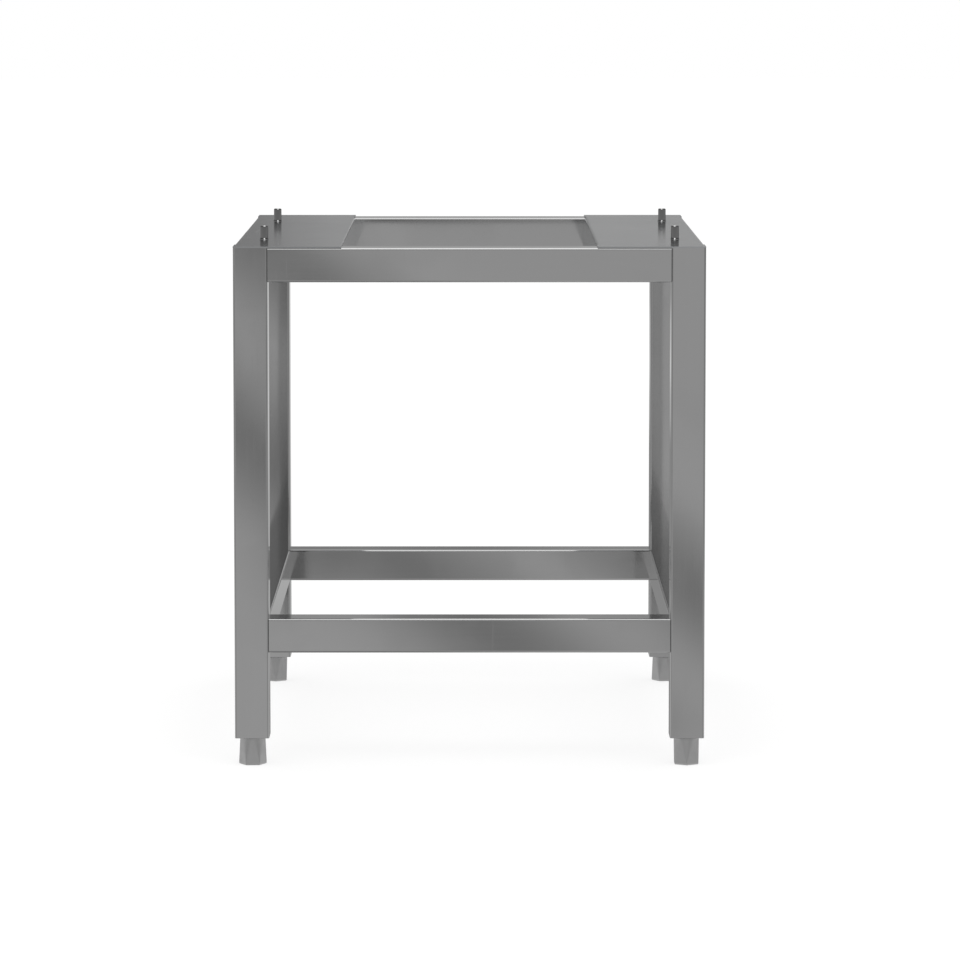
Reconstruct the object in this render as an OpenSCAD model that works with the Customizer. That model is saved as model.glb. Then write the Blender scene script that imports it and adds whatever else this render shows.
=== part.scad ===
// Stand for a countertop oven: a welded frame of square tube on four screw feet.
// Two folded sheet shelves run front to back on top, each with two upright pins
// that keep the oven's base from sliding.
// Millimetres, +Z up, front towards -Y, origin on the floor under the middle of the frame.

/* [Overall] */
// Width of the frame, left to right
stand_w = 685; // [560:1:900]
// Depth of the frame, front to back
stand_d = 850; // [620:1:1000]
// Height of the shelf tops above the floor, feet screwed right in
shelf_h = 760; // [560:1:950]

/* [Square tube] */
// Outside width of the tube
tube = 50; // [40:1:60]
// Wall of the tube
tube_wall = 1.5; // [1:0.1:2.5]
// Outside radius of the tube's corners
tube_r = 3; // [3:0.1:5]

/* [Rails] */
// Height of the lower rails' undersides above the floor
low_rail_h = 167; // [110:1:300]

/* [Side shelves] */
// Width of each side shelf
shelf_w = 157; // [110:1:200]
// Thickness of the shelf sheet
sheet = 2; // [1.5:0.1:3]
// Inside radius of the folds along the shelf's two long edges
fold_r = 1.5; // [0.5:0.1:4]
// Depth of the folded lips below the sheet
lip = 50; // [15:1:60]

/* [Locating pins] */
// Distance from the frame's side to a pin's axis
pin_inset_side = 37.5; // [20:0.5:60]
// Distance between the front and the back pin of a shelf
pin_spacing = 480; // [200:1:500]
// Diameter of a pin
pin_d = 12; // [10:0.5:13]
// Height of a pin above the shelf
pin_h = 20; // [10:0.5:40]
// Chamfer round a pin's top
pin_chamfer = 1; // [0.5:0.1:2]
// How far a pin flares out at its foot, to the size of its hole in the sheet
pin_flare = 0.5; // [0.3:0.1:3]
// Diameter of the flange under the sheet, which a pin is welded by
pin_flange_d = 22; // [21:0.5:30]
// Thickness of the flange
pin_flange_t = 3; // [1.5:0.5:6]
// Gap round a pin's seat in its hole
pin_gap = 0.1; // [0.05:0.05:0.3]

/* [Feet] */
// Height of the leg ends above the floor, feet screwed right in
leg_clear = 41; // [32:1:60]
// Gap between a foot and its leg end, feet screwed right in
foot_gap = 0.3; // [0.2:0.1:2]
// Diameter of a foot at its top
foot_top_d = 37; // [30:0.5:39]
// Height of the round band at a foot's top
foot_round_h = 3; // [2.2:0.1:6]
// Width of a foot's hexagon across its flats, at the bottom
foot_af = 35; // [28:0.5:38]
// Height of the straight part of the hexagon
foot_hex_h = 3; // [2.2:0.1:6]
// Chamfer round a foot's top and bottom edges
foot_chamfer = 1; // [0.3:0.1:2]
// Diameter of a foot's threaded stem
stem_d = 10; // [8:1:16]
// Length of the stem inside its foot
stem_in_foot = 27; // [15:1:28]
// How far a foot screws out of its leg
foot_travel = 25; // [10:1:40]
// How far the stem still stands above its plug with the foot right out
stem_spare = 15; // [3:1:25]
// Running gap round the stem in its plug and its foot
stem_gap = 0.05; // [0.02:0.01:0.1]
// Chamfer at the stem's ends
stem_chamfer = 1; // [0.3:0.1:2]
// Turn of each foot as it stands: front left, front right, back left, back right
foot_turns = [2, 30, 32, 4]; // [0:1:59]

/* [Leg plugs] */
// Thickness of the threaded plug in a leg end
plug_h = 20; // [12:1:30]
// Gap round the plug in its tube, filled by the weld
plug_gap = 0.1; // [0.05:0.05:0.3]

/* [Hidden] */

// Which side and which end each corner lies on, as signs of X and Y
FL = [-1, -1];
FR = [1, -1];
BL = [-1, 1];
BR = [1, 1];

ROUND_FN = 96;
HULL_FN = 32;
HEX_FN = 6;
STEEL = "silver";
BRIGHT_STEEL = "gainsboro";

frame_top = shelf_h - sheet;          // top of the legs and of the upper rails, under the sheet
top_rail_h = frame_top - tube;        // underside of the upper rails
leg_x = (stand_w - tube) / 2;         // centre of a leg from the middle plane
leg_y = (stand_d - tube) / 2;
cross_l = stand_w - 2 * tube;         // clear width between the legs
side_l = stand_d - 2 * tube;          // clear depth between the legs
pin_x = stand_w / 2 - pin_inset_side;
pin_y = pin_spacing / 2;
pin_seat_d = pin_d + 2 * pin_flare;
foot_h = leg_clear - foot_gap;
stem_bottom = foot_h - stem_in_foot;
stem_l = stem_in_foot + foot_gap + plug_h + foot_travel + stem_spare;
fold_out = fold_r + sheet;            // outside radius of a fold
CUT = 1;                              // how far a cutting shape runs past the face it opens

// Square with four round corners, centred
module round_square(w, r) {
    square([w, w - 2 * r], center = true);
    square([w - 2 * r, w], center = true);
    for (sx = [-1, 1], sy = [-1, 1])
        translate([sx * (w / 2 - r), sy * (w / 2 - r)])
            circle(r, $fn = ROUND_FN);
}

// Upright length of the square tube, open at both ends
module tube_length(l) {
    linear_extrude(l)
        difference() {
            round_square(tube, tube_r);
            round_square(tube - 2 * tube_wall, tube_r - tube_wall);
        }
}

module leg(c) {
    color(STEEL)
        translate([c[0] * leg_x, c[1] * leg_y, leg_clear])
            tube_length(frame_top - leg_clear);
}

// Rail across the front or the back; end is -1 or 1, z is its underside
module cross_rail(end, z) {
    color(STEEL)
        translate([-cross_l / 2, end * leg_y, z + tube / 2])
            rotate([0, 90, 0])
                tube_length(cross_l);
}

// Rail along the left or the right side
module side_rail(side, z) {
    color(STEEL)
        translate([side * leg_x, side_l / 2, z + tube / 2])
            rotate([90, 0, 0])
                tube_length(side_l);
}

// Section with a flat top and two round top corners, its top left corner at the origin
module folded_outline(w, h, r) {
    translate([0, -h])
        square([w, h - r]);
    translate([r, -h])
        square([w - 2 * r, h]);
    for (x = [r, w - r])
        translate([x, -r])
            circle(r, $fn = ROUND_FN);
}

// Sheet folded down along both long edges, drawn with its outer edge on X = 0
module shelf_section() {
    difference() {
        folded_outline(shelf_w, sheet + lip, fold_out);
        translate([sheet, -sheet])
            folded_outline(shelf_w - 2 * sheet, lip + CUT, fold_r);
    }
}

// Draws a left-hand piece as it is, or mirrored to the right
module on_side(side) {
    if (side < 0)
        children();
    else
        mirror([1, 0, 0])
            children();
}

// Side shelf: folded between the legs, flat where it lies over the legs and the upper rails
module side_shelf(side) {
    color(STEEL)
        on_side(side)
            difference() {
                translate([-stand_w / 2, 0, shelf_h]) {
                    translate([0, side_l / 2, 0])
                        rotate([90, 0, 0])
                            linear_extrude(side_l)
                                shelf_section();
                    for (end = [-1, 1])
                        translate([0, end * leg_y - tube / 2, -sheet])
                            cube([shelf_w, tube, sheet]);
                }
                for (end = [-1, 1])
                    translate([-pin_x, end * pin_y, frame_top - CUT])
                        cylinder(h = sheet + 2 * CUT, d = pin_seat_d + 2 * pin_gap, $fn = ROUND_FN);
            }
}

// Pin: a flange under the sheet, a seat that fills the hole, and a chamfered peg above
module locating_pin(c) {
    r = pin_d / 2;
    seat_r = pin_seat_d / 2;
    flange_r = pin_flange_d / 2;
    color(BRIGHT_STEEL)
        translate([c[0] * pin_x, c[1] * pin_y, shelf_h])
            rotate_extrude($fn = ROUND_FN)
                polygon([[0, -sheet - pin_flange_t], [flange_r, -sheet - pin_flange_t], [flange_r, -sheet],
                         [seat_r, -sheet], [seat_r, 0], [r, pin_flare],
                         [r, pin_h - pin_chamfer], [r - pin_chamfer, pin_h], [0, pin_h]]);
}

// Threaded plug that closes a leg's lower end and carries its foot
module leg_plug(c) {
    plug_w = tube - 2 * tube_wall - 2 * plug_gap;
    plug_r = tube_r - tube_wall - plug_gap;
    color(BRIGHT_STEEL)
        translate([c[0] * leg_x, c[1] * leg_y, leg_clear])
            difference() {
                linear_extrude(plug_h)
                    round_square(plug_w, plug_r);
                translate([0, 0, -CUT])
                    cylinder(h = plug_h + 2 * CUT, d = stem_d + 2 * stem_gap, $fn = ROUND_FN);
            }
}

module foot_stem(c) {
    r = stem_d / 2;
    color(BRIGHT_STEEL)
        translate([c[0] * leg_x, c[1] * leg_y, stem_bottom])
            rotate_extrude($fn = ROUND_FN)
                polygon([[0, 0], [r - stem_chamfer, 0], [r, stem_chamfer],
                         [r, stem_l - stem_chamfer], [r - stem_chamfer, stem_l], [0, stem_l]]);
}

// Foot: round where it meets the leg, hexagonal where it stands on the floor
module foot(c, turn) {
    hex_d = foot_af / cos(30);
    chamfered_hex_d = (foot_af - 2 * foot_chamfer) / cos(30);
    color(STEEL)
        translate([c[0] * leg_x, c[1] * leg_y, 0])
            rotate([0, 0, turn])
                difference() {
                    hull() {
                        translate([0, 0, foot_h - foot_round_h]) {
                            cylinder(h = foot_round_h - foot_chamfer, d = foot_top_d, $fn = HULL_FN);
                            cylinder(h = foot_round_h, d = foot_top_d - 2 * foot_chamfer, $fn = HULL_FN);
                        }
                        cylinder(h = foot_hex_h, d = chamfered_hex_d, $fn = HEX_FN);
                        translate([0, 0, foot_chamfer])
                            cylinder(h = foot_hex_h - foot_chamfer, d = hex_d, $fn = HEX_FN);
                    }
                    translate([0, 0, stem_bottom])
                        cylinder(h = stem_in_foot + CUT, d = stem_d + 2 * stem_gap, $fn = ROUND_FN);
                }
}

leg(FL);  // leg_front_left
leg(FR);  // leg_front_right
leg(BL);  // leg_back_left
leg(BR);  // leg_back_right
cross_rail(-1, top_rail_h);  // front_top_rail
cross_rail(1, top_rail_h);  // back_top_rail
cross_rail(-1, low_rail_h);  // front_bottom_rail
cross_rail(1, low_rail_h);  // back_bottom_rail
side_rail(-1, low_rail_h);  // left_bottom_rail
side_rail(1, low_rail_h);  // right_bottom_rail
side_shelf(-1);  // left_side_shelf
side_shelf(1);  // right_side_shelf
locating_pin(FL);  // locating_pin_front_left
locating_pin(FR);  // locating_pin_front_right
locating_pin(BL);  // locating_pin_back_left
locating_pin(BR);  // locating_pin_back_right
leg_plug(FL);  // leg_plug_front_left
leg_plug(FR);  // leg_plug_front_right
leg_plug(BL);  // leg_plug_back_left
leg_plug(BR);  // leg_plug_back_right
foot_stem(FL);  // foot_stem_front_left
foot_stem(FR);  // foot_stem_front_right
foot_stem(BL);  // foot_stem_back_left
foot_stem(BR);  // foot_stem_back_right
foot(FL, foot_turns[0]);  // foot_front_left
foot(FR, foot_turns[1]);  // foot_front_right
foot(BL, foot_turns[2]);  // foot_back_left
foot(BR, foot_turns[3]);  // foot_back_right
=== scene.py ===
# %% [markdown]
# # Oven stand, dressed for the camera
# The stand is a welded frame of polished stainless square tube: four legs, two top rails, a ring of low rails, two
# folded shelves with a turned pin near each end, and a screw-adjusted foot under each leg. The solids come from the
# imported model, and this script adds what a solid lacks: polished and turned finishes, threads, and the studio.
# Each step below first says what the real piece is, how it could be made, and why one way was chosen.

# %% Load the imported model
import bpy
import math
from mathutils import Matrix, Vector


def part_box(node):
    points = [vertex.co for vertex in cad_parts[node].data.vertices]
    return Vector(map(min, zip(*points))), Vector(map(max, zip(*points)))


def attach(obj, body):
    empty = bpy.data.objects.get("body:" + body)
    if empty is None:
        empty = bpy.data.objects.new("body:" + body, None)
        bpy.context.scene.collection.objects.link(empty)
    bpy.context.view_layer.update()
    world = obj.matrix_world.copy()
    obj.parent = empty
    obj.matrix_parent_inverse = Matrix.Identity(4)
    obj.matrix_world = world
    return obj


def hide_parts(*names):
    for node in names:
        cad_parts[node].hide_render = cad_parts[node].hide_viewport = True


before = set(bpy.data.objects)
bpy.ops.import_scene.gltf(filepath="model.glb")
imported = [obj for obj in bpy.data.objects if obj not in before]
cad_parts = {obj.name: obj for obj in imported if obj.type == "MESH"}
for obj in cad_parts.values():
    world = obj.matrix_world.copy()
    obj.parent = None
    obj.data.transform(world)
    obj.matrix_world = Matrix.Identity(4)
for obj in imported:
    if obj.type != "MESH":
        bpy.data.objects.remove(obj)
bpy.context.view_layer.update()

# %% [markdown]
# ## Camera
# The photograph was taken from far off with a long lens: the back legs look almost as far apart as the front ones.
# A camera could be matched by eye, but its numbers here were solved from measured corners of the frame. That puts the
# front edges within a third of a pixel and the rear ones within about a pixel and a half. The camera looks down by
# five degrees. The small lens shift goes with reading the tubes as square: from so far off, the picture alone can't
# tell a deeper stand seen without a shift from a shallower one seen with it.

# %% Place the camera
lens_length = 174.81                            # millimetres
lens_shift = -0.104                             # share of the picture's width
camera_place = (0.00566, -7.1565, 1.1691)       # metres
looks_down, leans = 0.08935, -0.00142           # radians
lens = bpy.data.cameras.new("camera")
lens.lens = lens_length
lens.shift_y = lens_shift
camera = bpy.data.objects.new("camera", lens)
camera.location = camera_place
camera.rotation_euler = (math.pi / 2 - looks_down, 0, leans)
bpy.context.scene.collection.objects.link(camera)
bpy.context.scene.camera = camera
bpy.context.scene.view_settings.view_transform = "Standard"
print("camera at", camera_place, "lens", lens_length, "mm, looking down", round(math.degrees(looks_down), 2), "degrees")

# %% [markdown]
# ## Helpers for node trees
# A node tree can be drawn by hand in the editor or built in code. In code it pays to have one short helper that adds a
# node, sets its own settings and fills its inputs with numbers or with other nodes' outputs. The sums that come back
# most often get a plain name each, so that a line of nodes reads like a line of arithmetic.

# %% Helpers for nodes
def put(tree, kind, inputs=(), **settings):
    """Adds a node. Settings are its own; inputs, by place or by name, are values or other nodes' outputs."""
    new = tree.nodes.new(kind)
    for key, value in settings.items():
        setattr(new, key, value)
    for key, value in inputs.items() if isinstance(inputs, dict) else enumerate(inputs):
        if isinstance(value, bpy.types.NodeSocket):
            tree.links.new(value, new.inputs[key])
        else:
            new.inputs[key].default_value = value
    return new


def calc(tree, operation, *inputs):
    """Adds a Math node and returns its output."""
    return put(tree, "ShaderNodeMath", inputs, operation=operation).outputs[0]


def times(tree, first, *more):
    """Multiplies values, one after another."""
    for value in more:
        first = calc(tree, "MULTIPLY", first, value)
    return first


def plus(tree, first, *more):
    """Adds values up, one after another."""
    for value in more:
        first = calc(tree, "ADD", first, value)
    return first


def minus(tree, first, second):
    """Takes the second value from the first."""
    return calc(tree, "SUBTRACT", first, second)


def scaled(tree, vector, amount):
    """Multiplies a colour or a place by one number."""
    return put(tree, "ShaderNodeVectorMath", {0: vector, "Scale": amount}, operation="SCALE").outputs[0]


def span(tree, value, low, high, at_low=0.0, at_high=1.0, way="LINEAR"):
    """Goes from at_low where the value is low to at_high where it is high, and stays there beyond them."""
    stops = {0: value, 1: low, 2: high, 3: at_low, 4: at_high}
    return put(tree, "ShaderNodeMapRange", stops, interpolation_type=way).outputs[0]


def between(tree, value, start, stop):
    """Rises softly from 0 at start to 1 at stop."""
    return span(tree, value, start, stop, way="SMOOTHSTEP")


print("node helpers:", [helper.__name__ for helper in (put, calc, times, plus, minus, scaled, span, between)])

# %% [markdown]
# ## Groups with named inputs
# An effect that several materials share is best kept in a group of its own: it is built once, its inputs have names,
# and a change reaches every material. The same kind of group, with geometry going through it, shapes the turned pieces
# further down.

# %% Helpers for groups
def start_group(name, kind, takes, gives):
    """Starts a node group. Takes and gives map a socket's name to its type, or to its type and first value."""
    tree = bpy.data.node_groups.new(name, kind)
    for side, sockets in (("INPUT", takes), ("OUTPUT", gives)):
        for label, what in sockets.items():
            what = what if isinstance(what, tuple) else (what,)
            socket = tree.interface.new_socket(label, in_out=side, socket_type="NodeSocket" + what[0])
            if len(what) > 1:
                socket.default_value = what[1]
    return tree, tree.nodes.new("NodeGroupInput").outputs, tree.nodes.new("NodeGroupOutput")


def finish_group(tree, end, **results):
    """Joins each result to the group's output of that name (underscores stand for spaces), and says what it made."""
    for label, result in results.items():
        tree.links.new(result, end.inputs[label.replace("_", " ")])
    print(f"group {tree.name}: {len(tree.nodes)} nodes")


def use(tree, group, **inputs):
    """Places a shared effect in a material (underscores stand for spaces)."""
    named = {label.replace("_", " "): value for label, value in inputs.items()}
    return put(tree, "ShaderNodeGroup", named, node_tree=group).outputs


print("group helpers:", [helper.__name__ for helper in (start_group, finish_group, use)])

# %% [markdown]
# ## Shared effects
# Four effects come back on nearly every metal surface of the stand, so each is a group that is built once.
# **Polishing grain** is the fine comb of lines that a polishing belt leaves: noise that is stretched along the belt's
# way. **Handling marks** are soft cloudy smears and a few hairline scratches. **Rolled waviness** is the slow swell of
# rolled sheet and tube, which bends reflections a little. **Turned rings** are the tool marks of a lathe.
# Image textures could hold such marks too, but noise needs no files and stays sharp at any distance.

# %% Polishing grain
grain, given, end = start_group(
    "polishing grain", "ShaderNodeTree",
    {"Position": "Vector", "Lines per metre": ("Vector", (900, 900, 14)), "Contrast": ("Float", 1.0)},
    {"Streak": "Float"})
fine_share = 0.65
stretched = put(grain, "ShaderNodeVectorMath", (given["Position"], given["Lines per metre"]),
                operation="MULTIPLY").outputs[0]
fine = put(grain, "ShaderNodeTexNoise", {"Vector": stretched, "Scale": 1.0, "Detail": 3.0, "Roughness": 0.7})
coarse = put(grain, "ShaderNodeTexNoise", {"Vector": stretched, "Scale": 0.17, "Detail": 2.0})
both = plus(grain, times(grain, fine.outputs[0], fine_share), times(grain, coarse.outputs[0], 1.0 - fine_share))
streak = plus(grain, times(grain, minus(grain, both, 0.5), given["Contrast"]), 0.5)
finish_group(grain, end, Streak=streak)

# %% Handling marks
marks, given, end = start_group(
    "handling marks", "ShaderNodeTree",
    {"Position": "Vector", "Patch size": ("Float", 0.12)}, {"Smear": "Float", "Scratch": "Float"})
hair_directions = (((0.5, 0.3, 0.9), (55, 1.6, 55)), ((1.2, 0.8, 2.3), (48, 48, 1.3)))   # turn, stretch
patch_place = scaled(marks, given["Position"], calc(marks, "DIVIDE", 1.0, given["Patch size"]))
cloud = put(marks, "ShaderNodeTexNoise", {"Vector": patch_place, "Scale": 1.0, "Detail": 4.0, "Distortion": 0.6})
smear = between(marks, cloud.outputs[0], 0.42, 0.72)
lines = []
for turn, stretch in hair_directions:
    turned = put(marks, "ShaderNodeMapping", {"Vector": patch_place, "Rotation": turn, "Scale": stretch})
    hair = put(marks, "ShaderNodeTexNoise", {"Vector": turned.outputs[0], "Scale": 1.0, "Detail": 0.0})
    lines.append(span(marks, hair.outputs[0], 0.77, 0.83))
finish_group(marks, end, Smear=smear, Scratch=calc(marks, "MAXIMUM", *lines))

# %% Rolled waviness
waves, given, end = start_group(
    "rolled waviness", "ShaderNodeTree",
    {"Position": "Vector", "Swells per metre": ("Vector", (6, 6, 3))}, {"Swell": "Float"})
stretched = put(waves, "ShaderNodeVectorMath", (given["Position"], given["Swells per metre"]),
                operation="MULTIPLY").outputs[0]
swell = put(waves, "ShaderNodeTexNoise", {"Vector": stretched, "Scale": 1.0, "Detail": 1.0, "Roughness": 0.3})
finish_group(waves, end, Swell=swell.outputs[0])

# %% Turned rings
rings, given, end = start_group(
    "turned rings", "ShaderNodeTree",
    {"Along": "Float", "Rings per metre": ("Float", 3500.0)}, {"Ring": "Float"})
turns = times(rings, given["Along"], given["Rings per metre"])
wave = calc(rings, "SINE", times(rings, turns, 2 * math.pi))
uneven = put(rings, "ShaderNodeTexNoise", {"W": turns, "Scale": 0.31, "Detail": 2.0}, noise_dimensions="1D")
finish_group(rings, end, Ring=plus(rings, times(rings, wave, 0.2), uneven.outputs[0]))

# %% [markdown]
# ## Polished tube and sheet
# Stainless steel is a bare metal: all its colour is reflection, so it is fully metallic with a mid grey base. The
# tubes mirror the studio softly, which asks for a low roughness that the grain and the smears only nudge. The grain
# lies along each tube, so legs, cross rails and side rails get a material each from one recipe, with the grain's
# stretch as the only difference. Bump nodes turn the swell and the grain into tilts of the surface.

# %% Start of every steel
def start_material(name, colour):
    """Starts a metal material and returns it, its tree, its shader and the object's own coordinates."""
    material = bpy.data.materials.new(name)
    material.use_nodes = True
    tree = material.node_tree
    shader = tree.nodes["Principled BSDF"]
    shader.inputs["Metallic"].default_value = 1.0
    material.diffuse_color = (*colour, 1)
    return material, tree, shader, put(tree, "ShaderNodeTexCoord").outputs["Object"]


print("every steel starts from", start_material.__name__)

# %% Recipe for polished steel
def polished_steel(name, colour, roughness, lines, swells, lift):
    """Polished stainless: grain along the piece, cloudy smears, hairlines, and a slow swell that bends reflections."""
    grain_tint, smear_tint, middle_tint = 0.04, 0.02, 0.985
    grain_rough, smear_rough, scratch_rough, mean_added = 0.02, 0.015, 0.012, 0.015
    scratch_deep, grain_height = 0.12, 0.000004
    material, tree, shader, place = start_material(name, colour)
    streak = use(tree, grain, Position=place, Lines_per_metre=lines)["Streak"]
    worn = use(tree, marks, Position=place)
    swell = use(tree, waves, Position=place, Swells_per_metre=swells)["Swell"]
    shade = minus(tree, times(tree, streak, grain_tint), times(tree, worn["Smear"], smear_tint))
    tree.links.new(scaled(tree, colour, plus(tree, shade, middle_tint)), shader.inputs["Base Color"])
    rough = plus(tree, times(tree, streak, grain_rough), times(tree, worn["Smear"], smear_rough),
                 times(tree, worn["Scratch"], scratch_rough), roughness - mean_added)
    tree.links.new(rough, shader.inputs["Roughness"])
    slow = put(tree, "ShaderNodeBump", {"Strength": 1.0, "Distance": lift, "Height": swell}).outputs[0]
    small = minus(tree, streak, times(tree, worn["Scratch"], scratch_deep))
    sharp = put(tree, "ShaderNodeBump", {"Strength": 0.15, "Distance": grain_height, "Height": small, "Normal": slow})
    tree.links.new(sharp.outputs[0], shader.inputs["Normal"])
    return material


tube_colour, sheet_colour = (0.60, 0.60, 0.60), (0.590, 0.602, 0.613)
tube_rough, sheet_rough = 0.055, 0.14
tube_lift, sheet_lift = 0.0001, 0.00006
upright = polished_steel("polished tube, grain upright", tube_colour, tube_rough, (900, 900, 14), (7, 7, 3), tube_lift)
crosswise = polished_steel("polished tube, grain across", tube_colour, tube_rough, (14, 900, 900), (3, 7, 7), tube_lift)
lengthwise = polished_steel("polished tube, grain front to back", tube_colour, tube_rough, (900, 14, 900), (7, 3, 7),
                            tube_lift)
sheet = polished_steel("satin sheet", sheet_colour, sheet_rough, (900, 14, 900), (6, 3, 6), sheet_lift)
print("polished:", [material.name for material in (upright, crosswise, lengthwise, sheet)])

# %% [markdown]
# ## Dress the tubes and shelves
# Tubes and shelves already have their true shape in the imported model. They could be rebuilt here, but then two models
# would have to agree, so they are left as they are and only get a finish in the material slots that they came with.

# %% Dress the tubes and shelves
def dress(material, *names):
    """Gives CAD solids a finish, in their own material slots."""
    for name in names:
        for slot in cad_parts[name].material_slots:
            slot.material = material
    print("dressed", len(names), "solids in", material.name)


corners = [f"{end}_{side}" for end in ("front", "back") for side in ("left", "right")]
dress(upright, *[f"leg_{c}" for c in corners])
dress(crosswise, "front_top_rail", "back_top_rail", "front_bottom_rail", "back_bottom_rail")
dress(lengthwise, "left_bottom_rail", "right_bottom_rail")
dress(sheet, "left_side_shelf", "right_side_shelf")

# %% [markdown]
# ## Turned and threaded steel
# The pins and the plugs' ends are turned on a lathe, so their marks are rings. On a pin the rings follow the outline,
# up the side and across the end, so they read an attribute that holds the way along the outline. The feet are
# turned at the top and milled into a hexagon below, then blasted to a satin, which is rougher. The threads are rolled.

# %% Recipe for turned steel
def turned_steel(name, colour, roughness, per_metre, depth, attribute=None, shade_band=None):
    """Turned stainless: rings along the named attribute, or up the object where none is named. Between the two heights
    of the band of painted shade, the base colour keeps only the share given as its third number, so that part is
    painted darker as if in shade."""
    ring_rough, smear_rough, mean_added, scratch_deep = 0.03, 0.03, 0.03, 0.1
    material, tree, shader, place = start_material(name, colour)
    height = put(tree, "ShaderNodeSeparateXYZ", (place,)).outputs["Z"]
    along = put(tree, "ShaderNodeAttribute", attribute_name=attribute).outputs["Fac"] if attribute else height
    ring = use(tree, rings, Along=along, Rings_per_metre=per_metre)["Ring"]
    worn = use(tree, marks, Position=place, Patch_size=0.02)
    tint = span(tree, worn["Smear"], 0.0, 1.0, 1.01, 0.97)
    # Painted shade: between two heights the base colour is cut to a share, so that band looks darker.
    if shade_band:
        low, high, share = shade_band
        inside = times(tree, calc(tree, "GREATER_THAN", height, low), calc(tree, "LESS_THAN", height, high))
        tint = times(tree, tint, minus(tree, 1.0, times(tree, inside, 1.0 - share)))
    tree.links.new(scaled(tree, colour, tint), shader.inputs["Base Color"])
    rough = plus(tree, times(tree, ring, ring_rough), times(tree, worn["Smear"], smear_rough), roughness - mean_added)
    tree.links.new(rough, shader.inputs["Roughness"])
    small = minus(tree, ring, times(tree, worn["Scratch"], scratch_deep))
    bump = put(tree, "ShaderNodeBump", {"Strength": 0.2, "Distance": depth, "Height": small})
    tree.links.new(bump.outputs[0], shader.inputs["Normal"])
    return material


plug_steel = turned_steel("turned plug steel", (0.46, 0.46, 0.458), 0.24, per_metre=2000.0, depth=0.00001)
dress(plug_steel, *[f"leg_plug_{c}" for c in corners])

# %% [markdown]
# ## How the turned pieces are made
# A turned piece is a half outline swept round an axis. The Screw or Spin tools could do that once, but a Geometry
# Nodes tree can also set four pins in their places. The outline is drawn in the script as a row of points, and the
# tree reads it: it starts from a flat grid with one column for each step round the axis and one row for each point,
# then moves each grid point to its place on the turned surface. Merging by distance closes the seam and the ends.

# %% Helpers for outlines
def outline_mesh(name, points):
    """A row of bare points for a tree to read, each with its way along the row as an attribute."""
    mesh = bpy.data.meshes.new(name)
    mesh.from_pydata([Vector(p) for p in points], [], [])
    way, total = [0.0], 0.0
    for a, b in zip(points, points[1:]):
        total += (Vector(b) - Vector(a)).length
        way.append(total)
    mesh.attributes.new("along", "FLOAT", "POINT").data.foreach_set("value", way)
    return mesh


def rounded(points, radius, steps=3):
    """Rounds the inner corners of an outline given as (radius, height), with a few points on each bend."""
    path = [Vector(p) for p in points]
    out = [path[0]]
    for before, corner, after in zip(path, path[1:], path[2:]):
        a, b = (before - corner), (after - corner)
        cut = min(radius, a.length * 0.4, b.length * 0.4)
        start, stop = corner + a.normalized() * cut, corner + b.normalized() * cut
        for i in range(steps + 1):
            t = i / steps
            out.append(start * (1 - t) ** 2 + corner * 2 * t * (1 - t) + stop * t ** 2)
    return [*out, path[-1]]


print("one rounded corner has", len(rounded([(0, 0), (1, 0), (1, 1)], 0.1)) - 2, "points")

# %% [markdown]
# ## From a tree to a plain mesh
# A Geometry Nodes modifier could stay live on its object, but the finished piece has to hold plain faces that can be
# exported and measured. So the tree is run once, its result is kept as a mesh, and the modifier goes. Each piece is
# then measured: no open edges means that it is closed, and a volume above 0 means that its faces point outwards.

# %% Helpers that run and measure a tree
def run_tree(name, host, tree, **inputs):
    """Runs a geometry tree on a host mesh, inputs set first, and returns the result as a plain mesh object."""
    piece = bpy.data.objects.new(name, host)
    bpy.context.scene.collection.objects.link(piece)
    step = piece.modifiers.new("shape", "NODES")
    step.node_group = tree
    for socket in tree.interface.items_tree:
        label = socket.name.replace(" ", "_")
        if socket.in_out == "INPUT" and label in inputs:
            step[socket.identifier] = inputs.pop(label)
    assert not inputs, f"no such input: {list(inputs)}"
    graph = bpy.context.evaluated_depsgraph_get()
    mesh = bpy.data.meshes.new_from_object(piece.evaluated_get(graph), preserve_all_data_layers=True, depsgraph=graph)
    piece.modifiers.remove(step)
    piece.data = mesh
    mesh.name = name
    return piece


def facts(piece):
    """What a piece measures: its triangles, open edges and volume, which is above 0 when its faces point out."""
    mesh = piece.data
    mesh.calc_loop_triangles()
    uses = {}
    for face in mesh.polygons:
        for key in face.edge_keys:
            uses[key] = uses.get(key, 0) + 1
    spots = [v.co for v in mesh.vertices]
    volume = sum(spots[t.vertices[0]].dot(spots[t.vertices[1]].cross(spots[t.vertices[2]]))
                 for t in mesh.loop_triangles) / 6
    open_edges = sum(1 for n in uses.values() if n != 2)
    return f"{piece.name}: {len(mesh.loop_triangles)} triangles, {open_edges} open edges, {volume * 1e6:.2f} cm3"


def middle(node):
    """The middle of a CAD solid's box, to a hundredth of a millimetre."""
    return [round((low + high) / 2, 5) for low, high in zip(*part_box(node))]


leg_centre = {c: middle(f"leg_{c}")[:2] for c in corners}
print("legs stand at", leg_centre)

# %% Steps that every turned tree shares
touching = 1e-6                                 # metres: points nearer than this become one


def start_sweep(tree, columns, rows):
    """A flat grid and, for each of its points, the column and the row that it is in."""
    grid = put(tree, "GeometryNodeMeshGrid", {"Vertices X": columns, "Vertices Y": rows})
    index = put(tree, "GeometryNodeInputIndex").outputs[0]
    column = calc(tree, "FLOOR", calc(tree, "DIVIDE", index, rows))
    return grid.outputs["Mesh"], column, minus(tree, index, times(tree, column, rows))


def count_points(tree, outline):
    """How many points an outline has."""
    return put(tree, "GeometryNodeAttributeDomainSize", {"Geometry": outline}).outputs["Point Count"]


def sample(tree, outline, kind, field, row):
    """Reads a value of the outline at a row."""
    wanted = {"Geometry": outline, "Value": field, "Index": row}
    return put(tree, "GeometryNodeSampleIndex", wanted, data_type=kind).outputs[0]


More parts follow.
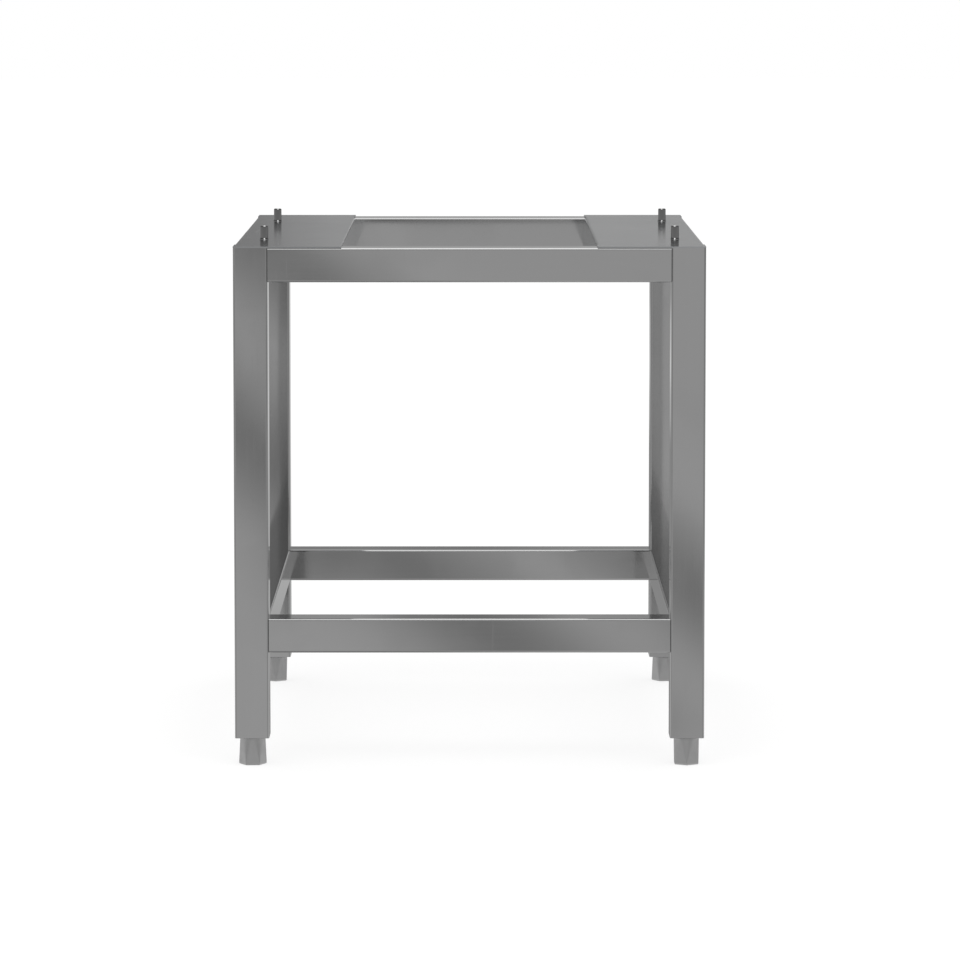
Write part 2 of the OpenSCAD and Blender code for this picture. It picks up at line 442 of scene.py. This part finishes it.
def outline_point(tree, outline, row):
    """The three numbers of the outline's point at a row."""
    here = put(tree, "GeometryNodeInputPosition").outputs[0]
    return put(tree, "ShaderNodeSeparateXYZ", (sample(tree, outline, "FLOAT_VECTOR", here, row),)).outputs


def turn_angle(tree, column, steps):
    """The angle that a column has round the axis."""
    return times(tree, calc(tree, "DIVIDE", column, steps), 2 * math.pi)


def around(tree, radius, angle, height=0.0):
    """The place at a radius, an angle and a height."""
    spot = (times(tree, radius, calc(tree, "COSINE", angle)), times(tree, radius, calc(tree, "SINE", angle)), height)
    return put(tree, "ShaderNodeCombineXYZ", spot).outputs[0]


def add_up(tree, total, *vectors):
    """Adds vectors in a row."""
    for more in vectors:
        total = put(tree, "ShaderNodeVectorMath", (total, more), operation="ADD").outputs[0]
    return total


def move(tree, mesh, place):
    """Moves every point of a mesh to its place."""
    return put(tree, "GeometryNodeSetPosition", {"Geometry": mesh, "Position": place}).outputs[0]


def merge(tree, mesh):
    """Joins points that touch, which closes seams and poles."""
    return put(tree, "GeometryNodeMergeByDistance", {"Geometry": mesh, "Distance": touching}).outputs[0]


def close_up(tree, mesh, finish):
    """Closes seams and poles, shades smoothly and gives the finish."""
    smooth = put(tree, "GeometryNodeSetShadeSmooth", {"Geometry": merge(tree, mesh)})
    whole = put(tree, "GeometryNodeRealizeInstances", {"Geometry": smooth.outputs[0]})
    return put(tree, "GeometryNodeSetMaterial", {"Geometry": whole.outputs[0], "Material": finish}).outputs[0]


print("points nearer than", touching * 1000, "mm are joined")

# %% [markdown]
# ## Locating pins
# Four pins keep the oven's base in its place. Each is a turned peg with a chamfered end, set in a hole in the shelf.
# A flange under the sheet holds it, which is hidden and a guess. Where the peg meets the shelf it flares out a little,
# and that small ring catches the light. The tree turns the outline once and sets a copy at each corner of a
# two-by-two grid, because the four pins are alike and only their places differ.

# %% Tree for the pins
pins_tree, given, end = start_group(
    "turned pins", "GeometryNodeTree",
    {"Outline": "Geometry", "Steps round": ("Int", 48), "Apart across": ("Float", 0.61),
     "Apart front to back": ("Float", 0.48), "Shelf height": ("Float", 0.76), "Finish": "Material"},
    {"Pins": "Geometry"})
flat, column, row = start_sweep(pins_tree, plus(pins_tree, given["Steps round"], 1.0),
                                count_points(pins_tree, given["Outline"]))
half = outline_point(pins_tree, given["Outline"], row)
angle = turn_angle(pins_tree, column, given["Steps round"])
swept = move(pins_tree, flat, around(pins_tree, half[0], angle, half[2]))
way = put(pins_tree, "GeometryNodeInputNamedAttribute", {"Name": "along"}, data_type="FLOAT").outputs[0]
marked = put(pins_tree, "GeometryNodeStoreNamedAttribute",
             {"Geometry": swept, "Name": "along", "Value": sample(pins_tree, given["Outline"], "FLOAT", way, row)},
             data_type="FLOAT", domain="POINT").outputs[0]
places = put(pins_tree, "GeometryNodeMeshGrid",
             {"Size X": given["Apart across"], "Size Y": given["Apart front to back"],
              "Vertices X": 2, "Vertices Y": 2}).outputs["Mesh"]
lift = put(pins_tree, "ShaderNodeCombineXYZ", (0.0, 0.0, given["Shelf height"])).outputs[0]
raised = put(pins_tree, "GeometryNodeTransform", {"Geometry": places, "Translation": lift}).outputs[0]
copies = put(pins_tree, "GeometryNodeInstanceOnPoints", {"Points": raised, "Instance": merge(pins_tree, marked)})
finish_group(pins_tree, end, Pins=close_up(pins_tree, copies.outputs[0], given["Finish"]))

# %% [markdown]
# ## The pins' outline and finish
# The outline goes from the middle of the flange's underside, out and up past the seat in the sheet, round the small
# ring, up the peg and in over the chamfer. All its corners are rounded by a tenth of a millimetre, because a real edge
# is never quite sharp and the rounding is what catches light. Shade is painted on the peg's side: between the ring and
# the chamfer its base colour keeps only about a third, so the side looks darker than the ring and tip. The ring and tip
# keep a base lighter than the tubes' steel, which paints their highlights brighter.

# %% Make the pins
shelf_top = round(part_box("left_side_shelf")[1].z, 5)
left_pin, right_pin, back_pin = (middle(f"locating_pin_{c}") for c in ("front_left", "front_right", "back_left"))
peg_r, seat_r, ring_r, flange_r = 0.006, 0.0065, 0.0069, 0.011
peg_high, chamfer, ring_high, flare_high = 0.020, 0.001, 0.0005, 0.0018
sheet_thick, flange_low, above_sheet, edge_round = 0.002, 0.005, 0.00002, 0.0001
# Painted shade on the peg's side: its base colour keeps this share between the ring and the chamfer.
painted_shade_share = 0.36
pin_outline = [(0, -flange_low), (flange_r, -flange_low), (flange_r, -sheet_thick), (seat_r, -sheet_thick),
               (seat_r, above_sheet), (ring_r, above_sheet), (ring_r, ring_high), (peg_r, flare_high),
               (peg_r, peg_high - chamfer), (peg_r - chamfer, peg_high), (0, peg_high)]
pin_points = [(x, 0, z) for x, z in rounded(pin_outline, edge_round)]
shade_band_from, shade_band_to = shelf_top + flare_high - edge_round, shelf_top + peg_high - chamfer + edge_round
# A base of 0.9, lighter than the tubes' 0.6, paints brighter highlights on the ring and the tip.
pin_steel = turned_steel("bright turned steel", (0.90, 0.90, 0.90), 0.06, per_metre=3500.0, depth=0.000004,
                         attribute="along", shade_band=(shade_band_from, shade_band_to, painted_shade_share))
pins = run_tree("locating_pins", outline_mesh("pin outline", pin_points), pins_tree, Steps_round=48,
                Apart_across=right_pin[0] - left_pin[0], Apart_front_to_back=back_pin[1] - left_pin[1],
                Shelf_height=shelf_top, Finish=pin_steel)
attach(pins, "frame")
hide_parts(*[f"locating_pin_{c}" for c in corners])
print(facts(pins))

# %% [markdown]
# ## Screw threads
# Each foot turns on a threaded stem that climbs in the leg. A thread is a ridge that winds round a rod, one pitch for
# each turn. It could be cut with a screwed profile, but a grid does it cleanly: four rows for each pitch, two on the
# crest and two at the root, and every column a little higher than the one before, so that after one turn a row meets
# the row above. Heights are clamped to the stem's ends, where a chamfer narrows it, as on a real stud.

# %% Tree for a threaded stem
stem_tree, given, end = start_group(
    "threaded stem", "GeometryNodeTree",
    {"Host": "Geometry", "Place": "Vector", "Length": ("Float", 0.0873), "Crest radius": ("Float", 0.005),
     "Depth": ("Float", 0.00092), "Pitch": ("Float", 0.0015), "Chamfer": ("Float", 0.001), "Steps round": ("Int", 32),
     "Finish": "Material"}, {"Stem": "Geometry"})
crest, flank, root = 0.125, 0.3125, 0.25        # shares of one pitch; a second flank makes it whole
rows_each = 4.0
start_below = 1.0 + crest                       # in pitches, so that the first ring stays at the stem's end all round
pitches = calc(stem_tree, "CEIL", calc(stem_tree, "DIVIDE", given["Length"], given["Pitch"]))
rows = times(stem_tree, plus(stem_tree, pitches, 2.0), rows_each)
flat, column, row = start_sweep(stem_tree, plus(stem_tree, given["Steps round"], 1.0), rows)
whole_turn = calc(stem_tree, "FLOOR", calc(stem_tree, "DIVIDE", row, rows_each))
part = minus(stem_tree, row, times(stem_tree, whole_turn, rows_each))
share = calc(stem_tree, "DIVIDE", column, given["Steps round"])
for edge, step in ((0.5, crest), (1.5, flank), (2.5, root)):
    share = plus(stem_tree, share, times(stem_tree, calc(stem_tree, "GREATER_THAN", part, edge), step))
raw = times(stem_tree, minus(stem_tree, plus(stem_tree, whole_turn, share), start_below), given["Pitch"])
height = put(stem_tree, "ShaderNodeClamp", {"Value": raw, "Min": 0.0, "Max": given["Length"]}).outputs[0]

# %% [markdown]
# ## The thread's radius
# With the heights known, each point needs its distance from the axis. Two of the four rows lie at the crest and two
# are sunk to the root. Near both ends the chamfer keeps the radius smaller, and the first and last rows of the grid
# are drawn in to the axis, which closes the stem with a flat end.

# %% Radius and ends of the thread
sunk = times(stem_tree, calc(stem_tree, "GREATER_THAN", part, 1.5), given["Depth"])
end_gap = calc(stem_tree, "MINIMUM", height, minus(stem_tree, given["Length"], height))
tip = plus(stem_tree, minus(stem_tree, given["Crest radius"], given["Chamfer"]), end_gap)
radius = calc(stem_tree, "MINIMUM", minus(stem_tree, given["Crest radius"], sunk), tip)
not_first = calc(stem_tree, "GREATER_THAN", row, 0.5)
not_last = calc(stem_tree, "LESS_THAN", row, minus(stem_tree, rows, 1.5))
radius = times(stem_tree, radius, times(stem_tree, not_first, not_last))
wound = around(stem_tree, radius, turn_angle(stem_tree, column, given["Steps round"]), height)
shaped = move(stem_tree, flat, add_up(stem_tree, wound, given["Place"]))
finish_group(stem_tree, end, Stem=close_up(stem_tree, shaped, given["Finish"]))

# %% Make the stems
crest_radius = 0.00498                          # metres, just inside the solid's 5 mm
thread_steel = turned_steel("rolled thread steel", (0.44, 0.44, 0.437), 0.28, per_metre=5000.0, depth=0.00001)
for c in corners:
    low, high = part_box(f"foot_stem_{c}")
    stem = run_tree(f"threaded_stem_{c}", outline_mesh("stem start", [(0, 0, 0)]), stem_tree,
                    Place=(*leg_centre[c], low.z), Length=high.z - low.z, Crest_radius=crest_radius,
                    Finish=thread_steel)
    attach(stem, f"stem_{c}")
    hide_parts(f"foot_stem_{c}")
    print(facts(stem))

# %% [markdown]
# ## Levelling feet
# Each foot is round where it meets its leg and hexagonal where it stands, so that a spanner can turn it. Between the
# two its flats narrow and its corners grow rounder. Lofting or a boolean could join a disc and a hexagon, but there is
# a simple rule: every level is a hexagon whose corners are rounded by some share, almost none at the floor and all of
# it at the top. The tree takes a list of levels, each with an inset, a share and a height, and builds rings from it.

# %% Where a point lies on its hexagon
foot_tree, given, end = start_group(
    "levelling foot", "GeometryNodeTree",
    {"Levels": "Geometry", "Place": "Vector", "Turn": ("Float", 0.0), "Across flats": ("Float", 0.035),
     "Top radius": ("Float", 0.0185), "Steps on a corner": ("Int", 9), "Steps on a flat": ("Int", 4),
     "Finish": "Material"}, {"Foot": "Geometry"})
sixth = math.pi / 3                             # the angle from one corner of the hexagon to the next
last = minus(foot_tree, given["Steps on a corner"], 1.0)
side = plus(foot_tree, last, given["Steps on a flat"])
flat, column, row = start_sweep(foot_tree, plus(foot_tree, times(foot_tree, side, 6.0), 1.0),
                                count_points(foot_tree, given["Levels"]))
inset, share, level_height = outline_point(foot_tree, given["Levels"], row)
corner = calc(foot_tree, "FLOOR", calc(foot_tree, "DIVIDE", column, side))
step = minus(foot_tree, column, times(foot_tree, corner, side))
bend = span(foot_tree, step, 0.0, last, -sixth / 2, sixth / 2)
across_flat = between(foot_tree, step, last, side)

# %% [markdown]
# ## From the hexagon to the ring
# A point on a level is the sum of three steps: towards the corner that it has left, towards the corner that it comes
# to, and out by the rounding. As the share grows, the sharp hexagon shrinks and the rounding takes over, until the
# level is a circle. The ring is then turned by the foot's own angle and moved under its leg.

# %% Build the foot's rings
half_flats = minus(foot_tree, times(foot_tree, given["Across flats"], 0.5), inset)
apothem = times(foot_tree, minus(foot_tree, 1.0, share), half_flats)
reach = calc(foot_tree, "DIVIDE", apothem, math.cos(sixth / 2))
bulge = times(foot_tree, share, minus(foot_tree, given["Top radius"], inset))
from_here = times(foot_tree, corner, sixth)
near = around(foot_tree, times(foot_tree, reach, minus(foot_tree, 1.0, across_flat)), from_here)
far = around(foot_tree, times(foot_tree, reach, across_flat), plus(foot_tree, from_here, sixth))
out = around(foot_tree, bulge, plus(foot_tree, from_here, bend), level_height)
turned = put(foot_tree, "ShaderNodeVectorRotate",
             {"Vector": add_up(foot_tree, near, far, out), "Angle": given["Turn"]}, rotation_type="Z_AXIS").outputs[0]
shaped = move(foot_tree, flat, add_up(foot_tree, turned, given["Place"]))
finish_group(foot_tree, end, Foot=close_up(foot_tree, shaped, given["Finish"]))

# %% Make the feet
foot_turn = {"front_left": 2, "front_right": 30, "back_left": 32, "back_right": 4}       # degrees, as photographed
foot_high, bore, bore_floor, top_r, flat_r = 0.0407, 0.00505, 0.0137, 0.0185, 0.0175
sharp_share, end_band, bore_chamfer = 0.04, 0.003, 0.0006
taper = foot_high - 2 * end_band
base_levels = [(flat_r, 0, 0.0), (0.004, sharp_share, 0.0), (0.0014, sharp_share, 0.0)]
low_levels = [(0.001, sharp_share, 0.0), (0.0003, sharp_share, 0.00045), (0, sharp_share, 0.0012),
              (0, sharp_share, end_band)]
taper_levels = [(0, sharp_share + (1 - sharp_share) * t, end_band + taper * t) for t in (0.1, 0.3, 0.5, 0.7, 0.9, 1.0)]
top_levels = [(0, 1, foot_high - 0.0013), (0.0003, 1, foot_high - 0.0005), (0.001, 1, foot_high),
              (0.0014, 1, foot_high)]
bore_levels = [(top_r - bore - bore_chamfer, 1, foot_high), (top_r - bore, 1, foot_high - bore_chamfer),
               (top_r - bore, 1, bore_floor), (top_r, 1, bore_floor)]
foot_levels = base_levels + low_levels + taper_levels + top_levels + bore_levels
foot_steel = turned_steel("satin turned and milled steel", (0.68, 0.68, 0.68), 0.42, per_metre=2500.0, depth=0.000006)
for c in corners:
    foot = run_tree(f"levelling_foot_{c}", outline_mesh("foot levels", foot_levels), foot_tree,
                    Place=(*leg_centre[c], 0.0), Turn=math.radians(foot_turn[c]), Finish=foot_steel)
    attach(foot, f"foot_{c}")
    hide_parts(f"foot_{c}")
    print(facts(foot))

# %% [markdown]
# ## Floor and background
# The photograph has a clean white ground. Light enough to burn the floor out would burn the steel too, so the floor
# gives the camera its white by asking each ray whether it is a camera ray, and keeps the stand's soft shadow. Metal
# looks past the floor into the studio's surround, which is one soft picture above and below the horizon.

# %% Floor
floor_radius, floor_sides, floor_tone, floor_glow = 40, 64, 0.35, 0.74
mesh = bpy.data.meshes.new("floor")
rim = [2 * math.pi * i / floor_sides for i in range(floor_sides)]
mesh.from_pydata([(floor_radius * math.cos(a), floor_radius * math.sin(a), 0) for a in rim], [],
                 [list(range(floor_sides))])
floor = bpy.data.objects.new("floor", mesh)
floor.visible_glossy = False
floor.visible_transmission = False
bpy.context.scene.collection.objects.link(floor)
ground = bpy.data.materials.new("studio floor")
ground.use_nodes = True
tree = ground.node_tree
shader = tree.nodes["Principled BSDF"]
shader.inputs["Roughness"].default_value = 1.0
shader.inputs["Specular IOR Level"].default_value = 0.0
shader.inputs["Base Color"].default_value = (floor_tone, floor_tone, floor_tone, 1)
shader.inputs["Emission Color"].default_value = (1, 1, 1, 1)
ray = put(tree, "ShaderNodeLightPath").outputs
tree.links.new(times(tree, ray["Is Camera Ray"], floor_glow), shader.inputs["Emission Strength"])
ground.cycles.emission_sampling = "NONE"
floor.data.materials.append(ground)
print("floor of", 2 * floor_radius, "m across, tone", floor_tone)

# %% [markdown]
# ## The surround that the steel mirrors
# Polished steel has no look of its own: it shows its surroundings. Real walls and flags could be built round the
# stand, but level faces and upright faces mirror only narrow strips of the studio, so it is simpler to draw the world
# by direction: side is how far a ray goes to the right, depth how far back, and up how high. Each part below is a
# tone, and soft masks say in which directions it shows.

# %% Helpers for tones by direction
def ramp(tree, value, stops, smooth="EASE"):
    """Turns a number into a tone, by stops of (number, tone) in rising order."""
    low, high = stops[0][0], stops[-1][0]
    new = put(tree, "ShaderNodeValToRGB", (span(tree, value, low, high),))
    new.color_ramp.interpolation = smooth
    marks_on = new.color_ramp.elements
    for i, (at, tone) in enumerate([stops[0], stops[-1], *stops[1:-1]]):
        spot = (at - low) / (high - low)
        mark = marks_on[i] if i < 2 else marks_on.new(spot)
        mark.position = spot
        mark.color = (tone, tone, tone, 1)
    return new.outputs[0]


def window(tree, value, rise, full, fade, gone):
    """A soft mask that starts at rise, is 1 from full to fade and is over at gone."""
    return times(tree, between(tree, value, rise, full), between(tree, value, gone, fade))


def blend(tree, share, first, second):
    """Goes from the first tone at share 0 to the second at share 1."""
    return plus(tree, first, times(tree, share, minus(tree, second, first)))


def dim(tree, tone, mask, share):
    """Takes a share of a tone away where the mask is 1."""
    return times(tree, tone, minus(tree, 1.0, times(tree, mask, share)))


world = bpy.data.worlds.new("studio")
bpy.context.scene.world = world
world.use_nodes = True
tree = world.node_tree
tree.nodes.clear()
side, depth, up = put(tree, "ShaderNodeSeparateXYZ", (put(tree, "ShaderNodeTexCoord").outputs["Generated"],)).outputs
across = calc(tree, "ABSOLUTE", side)
print("world", world.name, "reads", [socket.name for socket in (side, depth, up)], "of each direction")

# %% [markdown]
# ## In front: two leaning dark bars
# The front faces of legs and rails mirror what stands low in front of the stand, behind the camera. Two soft dark bars
# lean to the right there, and they show as the diagonal bands that cross the legs and rails. One small patch low on the
# left is darker still, which is what the left end of the rear low rail shows. Away from the middle the front gets
# darker, the more so higher up.

# %% In front
bar_lean, below_bars = 0.785, 0.46
bar_tones = [(0.0, 0.43), (0.0616, 0.43), (0.0766, 0.47), (0.0966, 0.20), (0.1170, 0.47), (0.1397, 0.20),
             (0.1652, 0.47), (0.25, 0.46)]
slant = times(tree, plus(tree, up, times(tree, side, bar_lean)), -1.0)
bars = ramp(tree, slant, bar_tones)
bars = blend(tree, between(tree, up, -0.163, -0.167), bars, below_bars)
post_dark = 0.35
post = times(tree, window(tree, side, -0.043, -0.039, -0.031, -0.024), window(tree, up, -0.137, -0.133, -0.123, -0.118))
bars = dim(tree, bars, post, post_dark)
sideways_loss = [(-1.0, 0.38), (-0.87, 0.38), (-0.5, 0.28), (-0.1, 0.0), (0.1, 0.0), (0.5, 0.35), (1.0, 0.35)]
higher = span(tree, up, -0.16, -0.055, 0.75, 1.25)
front = dim(tree, bars, ramp(tree, side, sideways_loss), higher)
print("in front:", len(bar_tones), "stops for the bars,", len(sideways_loss), "for the loss to the sides")

# %% [markdown]
# ## Low walls behind and beside
# The inner faces of legs and side rails are seen at a glance, so they mirror what lies low behind the stand, with left
# and right swapped: the legs on the left show the right half of that wall, and the legs on the right its left half.
# Each half therefore has its own tones by height. Far to the sides the wall is plain, a little darker higher up, and
# a patch at the top on the right is darker again.

# %% Low walls
beside_high, beside_low, right_dark = 0.40, 0.56, 0.55
low_tones = [(-1.0, 0.45), (-0.3, 0.42), (-0.165, 0.28), (-0.125, 0.43), (-0.09, 0.58), (-0.06, 0.56), (0.0, 0.42)]
low_left_tones = [(-0.2, 0.28), (-0.1045, 0.24), (-0.095, 0.42), (-0.0855, 0.60), (-0.078, 0.50), (-0.0696, 0.30),
                  (-0.055, 0.26), (0.0, 0.24)]
straight = between(tree, across, 0.4, 0.2)
beside = blend(tree, between(tree, up, -0.12, -0.14), beside_high, beside_low)
left_part = times(tree, straight, between(tree, side, 0.02, -0.02))
low_walls = blend(tree, straight, beside, ramp(tree, up, low_tones))
low_walls = blend(tree, left_part, low_walls, ramp(tree, up, low_left_tones))
right_top = times(tree, between(tree, side, 0.1, 0.4), between(tree, up, -0.075, -0.055))
low_walls = dim(tree, low_walls, right_top, right_dark)
print("low walls:", len(low_tones), "stops,", len(low_left_tones), "on the left")

# %% [markdown]
# ## High walls and the strip overhead
# Above the horizon the studio gets darker, then a little lighter, and it is nearly black far to the sides. A bright
# strip runs overhead, which rounded edges find and turn into fine lines. On the right one narrow band has tones of its
# own: it is what the tops of the rear low rail and of the right low rail's rear part mirror.

# %% High walls
unlit_tone, strip_tone = 0.03, 0.9
high_tones = [(0.0, 0.42), (0.057, 0.34), (0.1, 0.24), (0.15, 0.22), (0.25, 0.32), (0.45, 0.32), (0.6, 0.2),
              (0.92, 0.2), (1.0, 0.3)]
right_tones = [(0.1, 0.45), (0.115, 0.54), (0.1183, 0.41), (0.1215, 0.3), (0.125, 0.215), (0.135, 0.2)]
right_band = times(tree, between(tree, side, 0.0, 0.02), window(tree, up, 0.09, 0.11, 0.125, 0.135))
high_walls = blend(tree, right_band, ramp(tree, up, high_tones), ramp(tree, up, right_tones, smooth="LINEAR"))
unlit = times(tree, between(tree, across, 0.24, 0.34), between(tree, up, 0.15, 0.35))
strip = times(tree, between(tree, across, 0.3, 0.2), between(tree, up, 0.45, 0.6), between(tree, depth, -0.1, 0.1))
high_walls = blend(tree, strip, blend(tree, unlit, high_walls, unlit_tone), strip_tone)
walls = blend(tree, between(tree, up, -0.01, 0.01), low_walls, high_walls)
print("high walls:", len(high_tones), "stops,", len(right_tones), "on the right")

# %% [markdown]
# ## What the level faces find straight behind
# The shelf tops are level and seen at a glance, so they mirror a thin slice of the wall straight behind, three to four
# degrees above the horizon, and a step to the side on the shelf is a step along that slice. It is made lighter or
# darker by its place from left to right. The top of the front low rail lies lower in view and mirrors a slice at
# eight degrees, which has tones of its own.

# %% Straight behind
glance_share = [(-0.1, 0.55), (-0.047, 0.63), (-0.0367, 0.9), (-0.0287, 1.06), (-0.0245, 1.06), (-0.0235, 1.05),
                (0.0215, 1.05), (0.0235, 1.1), (0.1, 1.1)]
steeper_tones = [(-0.05, 0.25), (-0.04, 0.33), (-0.025, 0.33), (-0.0125, 0.21), (0.0, 0.17), (0.01, 0.21),
                 (0.022, 0.32), (0.038, 0.30), (0.05, 0.2)]
straight_behind = between(tree, depth, 0.5, 0.9)
near_level = times(tree, window(tree, up, 0.0, 0.03, 0.08, 0.11), straight_behind)
mid_level = times(tree, window(tree, up, 0.128, 0.137, 0.17, 0.24), straight_behind)
behind = times(tree, walls, blend(tree, near_level, 1.0, ramp(tree, side, glance_share)))
behind = blend(tree, mid_level, behind, ramp(tree, side, steeper_tones))
print("straight behind:", len(glance_share), "stops near the horizon,", len(steeper_tones), "above them")

# %% [markdown]
# ## Put the surround together
# The front and the rest are joined by one more mask. Only rays that left a shiny surface see this picture. Diffuse
# light comes from a plain even sky, which keeps the floor's shadow soft, and the camera itself sees white.

# %% World
even_sky, picture_strength, white_strength = 0.8, 1.0, 1.0
in_front = times(tree, between(tree, depth, -0.2, -0.6), window(tree, up, -0.45, -0.28, -0.03, 0.02))
tone = blend(tree, in_front, behind, front)
ray = put(tree, "ShaderNodeLightPath").outputs
plain = put(tree, "ShaderNodeBackground", {"Color": (1, 1, 1, 1), "Strength": even_sky}).outputs[0]
studio = put(tree, "ShaderNodeBackground", {"Color": tone, "Strength": picture_strength}).outputs[0]
white = put(tree, "ShaderNodeBackground", {"Color": (1, 1, 1, 1), "Strength": white_strength}).outputs[0]
metal_sees = plus(tree, ray["Is Glossy Ray"], ray["Is Transmission Ray"])
mixed = put(tree, "ShaderNodeMixShader", (metal_sees, plain, studio)).outputs[0]
mixed = put(tree, "ShaderNodeMixShader", (ray["Is Camera Ray"], mixed, white)).outputs[0]
put(tree, "ShaderNodeOutputWorld", {"Surface": mixed})
world.cycles.sampling_method = "NONE"
print("world tree:", len(tree.nodes), "nodes")

# %% [markdown]
# ## Softboxes
# Every fold, chamfer and rounded edge sweeps its mirror picture from the wall to the ceiling, so a softbox up there
# draws a thin bright line along each of them. A bright patch in the world could do the same, but a light that stands
# in the room also falls on the floor. One softbox hangs overhead and one leans in from the front.

# %% Softboxes
def softbox(name, place, aim, width, height, brightness):
    """A rectangle of light that faces its aim; a brightness of 1 mirrors as white."""
    light = bpy.data.lights.new(name, "AREA")
    light.shape, light.size, light.size_y = "RECTANGLE", width, height
    light.energy = brightness * math.pi * width * height
    box = bpy.data.objects.new(name, light)
    box.rotation_euler = (Vector(aim) - Vector(place)).to_track_quat("-Z", "Y").to_euler()
    box.location = place
    bpy.context.scene.collection.objects.link(box)
    print(f"softbox {name}: {width} x {height} m at {place}, {light.energy:.2f} W")


softbox("overhead", place=(0, -0.7, 3.2), aim=(0, -0.7, 0), width=1.1, height=2.4, brightness=0.75)
softbox("front and high", place=(0, -2.6, 3.2), aim=(0, -0.2, 0.7), width=3.0, height=1.2, brightness=1.4)
